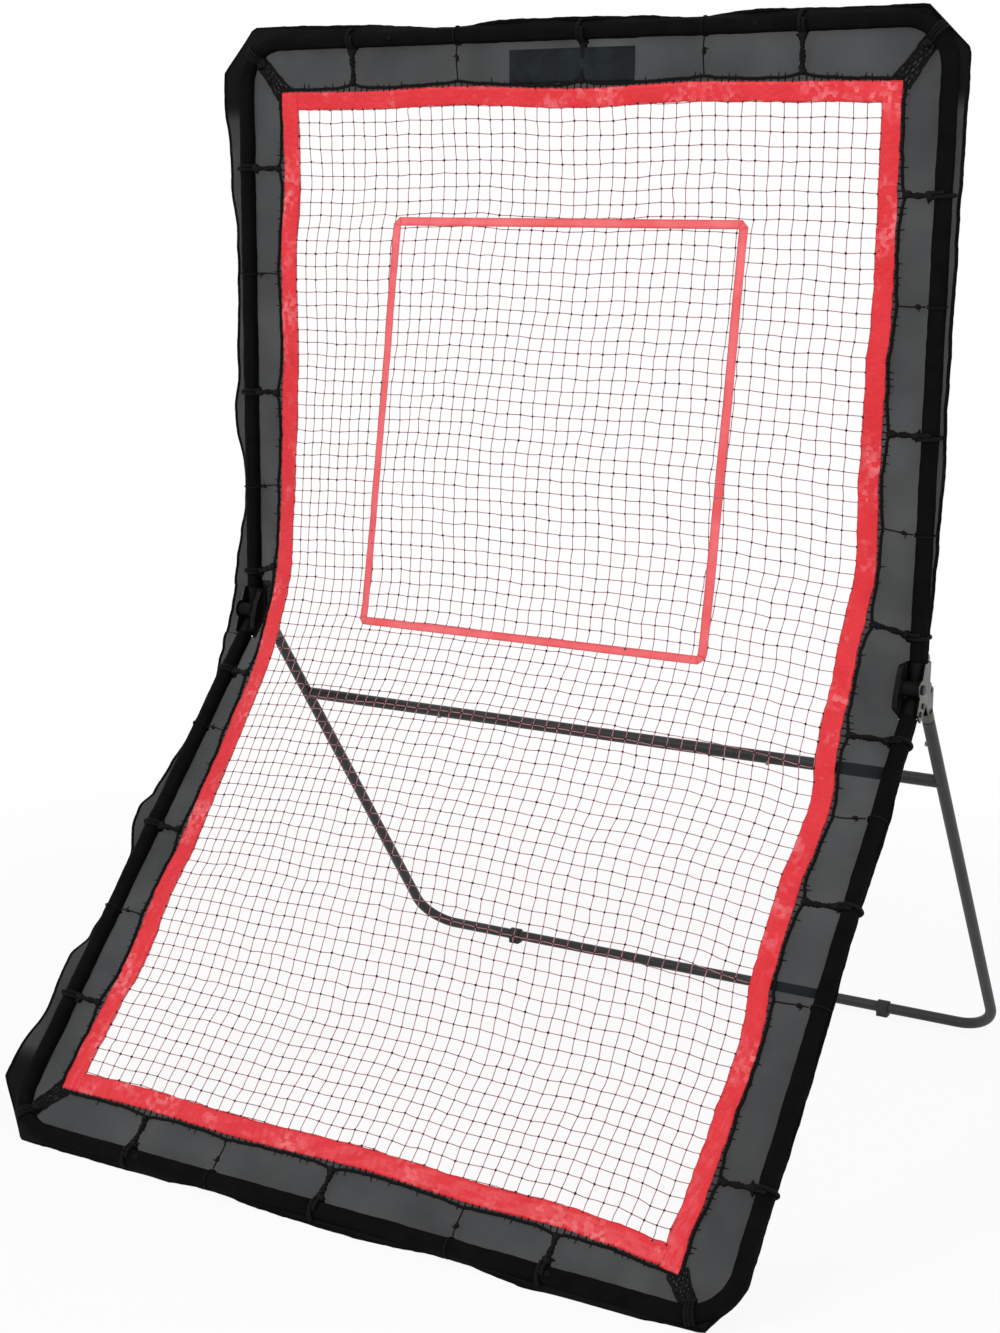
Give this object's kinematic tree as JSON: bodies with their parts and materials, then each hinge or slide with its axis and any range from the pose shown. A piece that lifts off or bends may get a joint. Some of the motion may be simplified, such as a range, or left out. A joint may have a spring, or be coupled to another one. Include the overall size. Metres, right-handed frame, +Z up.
{
  "type": "pitching target net",
  "caption": "Folding tube-framed pitching net with a red border, a strike zone and a hinged rear leg.",
  "frame": {"origin": "on the floor, in the middle of the footprint", "axes": "+Z up; the thrower stands on the -Y side; +X along the bars to the thrower's right"},
  "size_m": [1.095, 1.1281, 1.5024],
  "materials": {
    "frame_coat": "satin",
    "hinge_coat": "satin",
    "leg_coat": "satin",
    "zinc_steel": "matte",
    "foot_rubber": "matte",
    "netting": "matte",
    "red_tape": "gloss",
    "coral_tape": "gloss",
    "elastic": "matte",
    "mesh_cloth": "matte",
    "label_cloth": "matte"
  },
  "bodies": {
    "lower_frame": {"lower_tube_left": "frame_coat", "lower_tube_right": "frame_coat", "bottom_bar": "frame_coat", "hinge_housing_left": "hinge_coat", "hinge_housing_right": "hinge_coat", "fold_pins": "zinc_steel", "housing_rivets": "zinc_steel", "ratchet_plate_left": "zinc_steel", "ratchet_plate_right": "zinc_steel", "ratchet_gear_left": "zinc_steel", "ratchet_gear_right": "zinc_steel", "ratchet_pivots": "zinc_steel", "net_lower": "netting", "border_tape_lower": "red_tape", "ties_lower": "elastic", "cover_lower": "mesh_cloth", "net_bend": "netting", "border_tape_bend": "red_tape", "zone_tape_bend": "coral_tape", "cover_bend": "mesh_cloth", "snap_springs_lower": "zinc_steel"},
    "upper_frame": {"upper_tube_left": "frame_coat", "upper_tube_right": "frame_coat", "top_bar": "frame_coat", "hinge_arm_left": "hinge_coat", "hinge_arm_right": "hinge_coat", "arm_rivets": "zinc_steel", "net_upper": "netting", "border_tape_upper": "red_tape", "zone_tape_upper": "coral_tape", "ties_upper": "elastic", "cover_upper": "mesh_cloth", "label_patch": "label_cloth", "snap_springs_upper": "zinc_steel"},
    "rear_leg": {"leg_tube_left": "leg_coat", "leg_tube_right": "leg_coat", "crossbar_stub_left": "leg_coat", "crossbar_stub_right": "leg_coat", "crossbar": "leg_coat", "leg_base": "leg_coat", "foot_left": "foot_rubber", "foot_right": "foot_rubber", "leg_stub_left": "leg_coat", "leg_stub_right": "leg_coat", "ratchet_socket_left": "zinc_steel", "ratchet_socket_right": "zinc_steel", "pawl_pins": "zinc_steel", "pawl_springs": "zinc_steel", "snap_springs_leg": "zinc_steel"},
    "pawl_left": {"pawl_left": "zinc_steel"},
    "pawl_right": {"pawl_right": "zinc_steel"},
    "snap_button_top_left": {"snap_button_top_left": "zinc_steel"},
    "snap_button_top_right": {"snap_button_top_right": "zinc_steel"},
    "snap_button_bottom_left": {"snap_button_bottom_left": "zinc_steel"},
    "snap_button_bottom_right": {"snap_button_bottom_right": "zinc_steel"},
    "snap_button_leg_left": {"snap_button_leg_left": "zinc_steel"},
    "snap_button_leg_right": {"snap_button_leg_right": "zinc_steel"},
    "snap_button_crossbar_left": {"snap_button_crossbar_left": "zinc_steel"},
    "snap_button_crossbar_right": {"snap_button_crossbar_right": "zinc_steel"}
  },
  "joints": [
    {"name": "fold", "type": "hinge", "parent": "lower_frame", "child": "upper_frame", "pos_m": [0, -0.00932, 0.65317], "axis": [1, 0, 0], "range_deg": [0, 126], "deforming": ["net_bend", "border_tape_bend", "zone_tape_bend", "cover_bend"]},
    {"name": "leg_fold", "type": "hinge", "parent": "lower_frame", "child": "rear_leg", "pos_m": [0, 0.04097, 0.64589], "axis": [1, 0, 0], "range_deg": [-72, 0]},
    {"name": "pawl_left_lift", "type": "hinge", "parent": "rear_leg", "child": "pawl_left", "pos_m": [-0.5235, 0.06039, 0.64115], "axis": [1, 0, 0], "range_deg": [0, 10], "stiffness_Nm_per_rad": 0.3, "deforming": ["pawl_springs"]},
    {"name": "pawl_right_lift", "type": "hinge", "parent": "rear_leg", "child": "pawl_right", "pos_m": [0.5235, 0.06039, 0.64115], "axis": [1, 0, 0], "range_deg": [0, 10], "stiffness_Nm_per_rad": 0.3, "deforming": ["pawl_springs"]},
    {"name": "snap_button_top_left_press", "type": "slide", "parent": "upper_frame", "child": "snap_button_top_left", "axis": [0, -0.9993, -0.0366], "range_m": [-0.0032, 0], "stiffness_N_per_m": 900, "deforming": ["snap_springs_upper"]},
    {"name": "snap_button_top_right_press", "type": "slide", "parent": "upper_frame", "child": "snap_button_top_right", "axis": [0, -0.9993, -0.0366], "range_m": [-0.0032, 0], "stiffness_N_per_m": 900, "deforming": ["snap_springs_upper"]},
    {"name": "snap_button_bottom_left_press", "type": "slide", "parent": "lower_frame", "child": "snap_button_bottom_left", "axis": [0, -0.7478, 0.6639], "range_m": [-0.0032, 0], "stiffness_N_per_m": 900, "deforming": ["snap_springs_lower"]},
    {"name": "snap_button_bottom_right_press", "type": "slide", "parent": "lower_frame", "child": "snap_button_bottom_right", "axis": [0, -0.7478, 0.6639], "range_m": [-0.0032, 0], "stiffness_N_per_m": 900, "deforming": ["snap_springs_lower"]},
    {"name": "snap_button_crossbar_left_press", "type": "slide", "parent": "rear_leg", "child": "snap_button_crossbar_left", "axis": [0, -0.7725, -0.635], "range_m": [-0.0032, 0], "stiffness_N_per_m": 900, "deforming": ["snap_springs_leg"]},
    {"name": "snap_button_crossbar_right_press", "type": "slide", "parent": "rear_leg", "child": "snap_button_crossbar_right", "axis": [0, -0.7725, -0.635], "range_m": [-0.0032, 0], "stiffness_N_per_m": 900, "deforming": ["snap_springs_leg"]},
    {"name": "snap_button_leg_left_press", "type": "slide", "parent": "rear_leg", "child": "snap_button_leg_left", "axis": [1, 0, 0], "range_m": [-0.0032, 0], "stiffness_N_per_m": 900, "deforming": ["snap_springs_leg"]},
    {"name": "snap_button_leg_right_press", "type": "slide", "parent": "rear_leg", "child": "snap_button_leg_right", "axis": [-1, 0, 0], "range_m": [-0.0032, 0], "stiffness_N_per_m": 900, "deforming": ["snap_springs_leg"]}
  ]
}
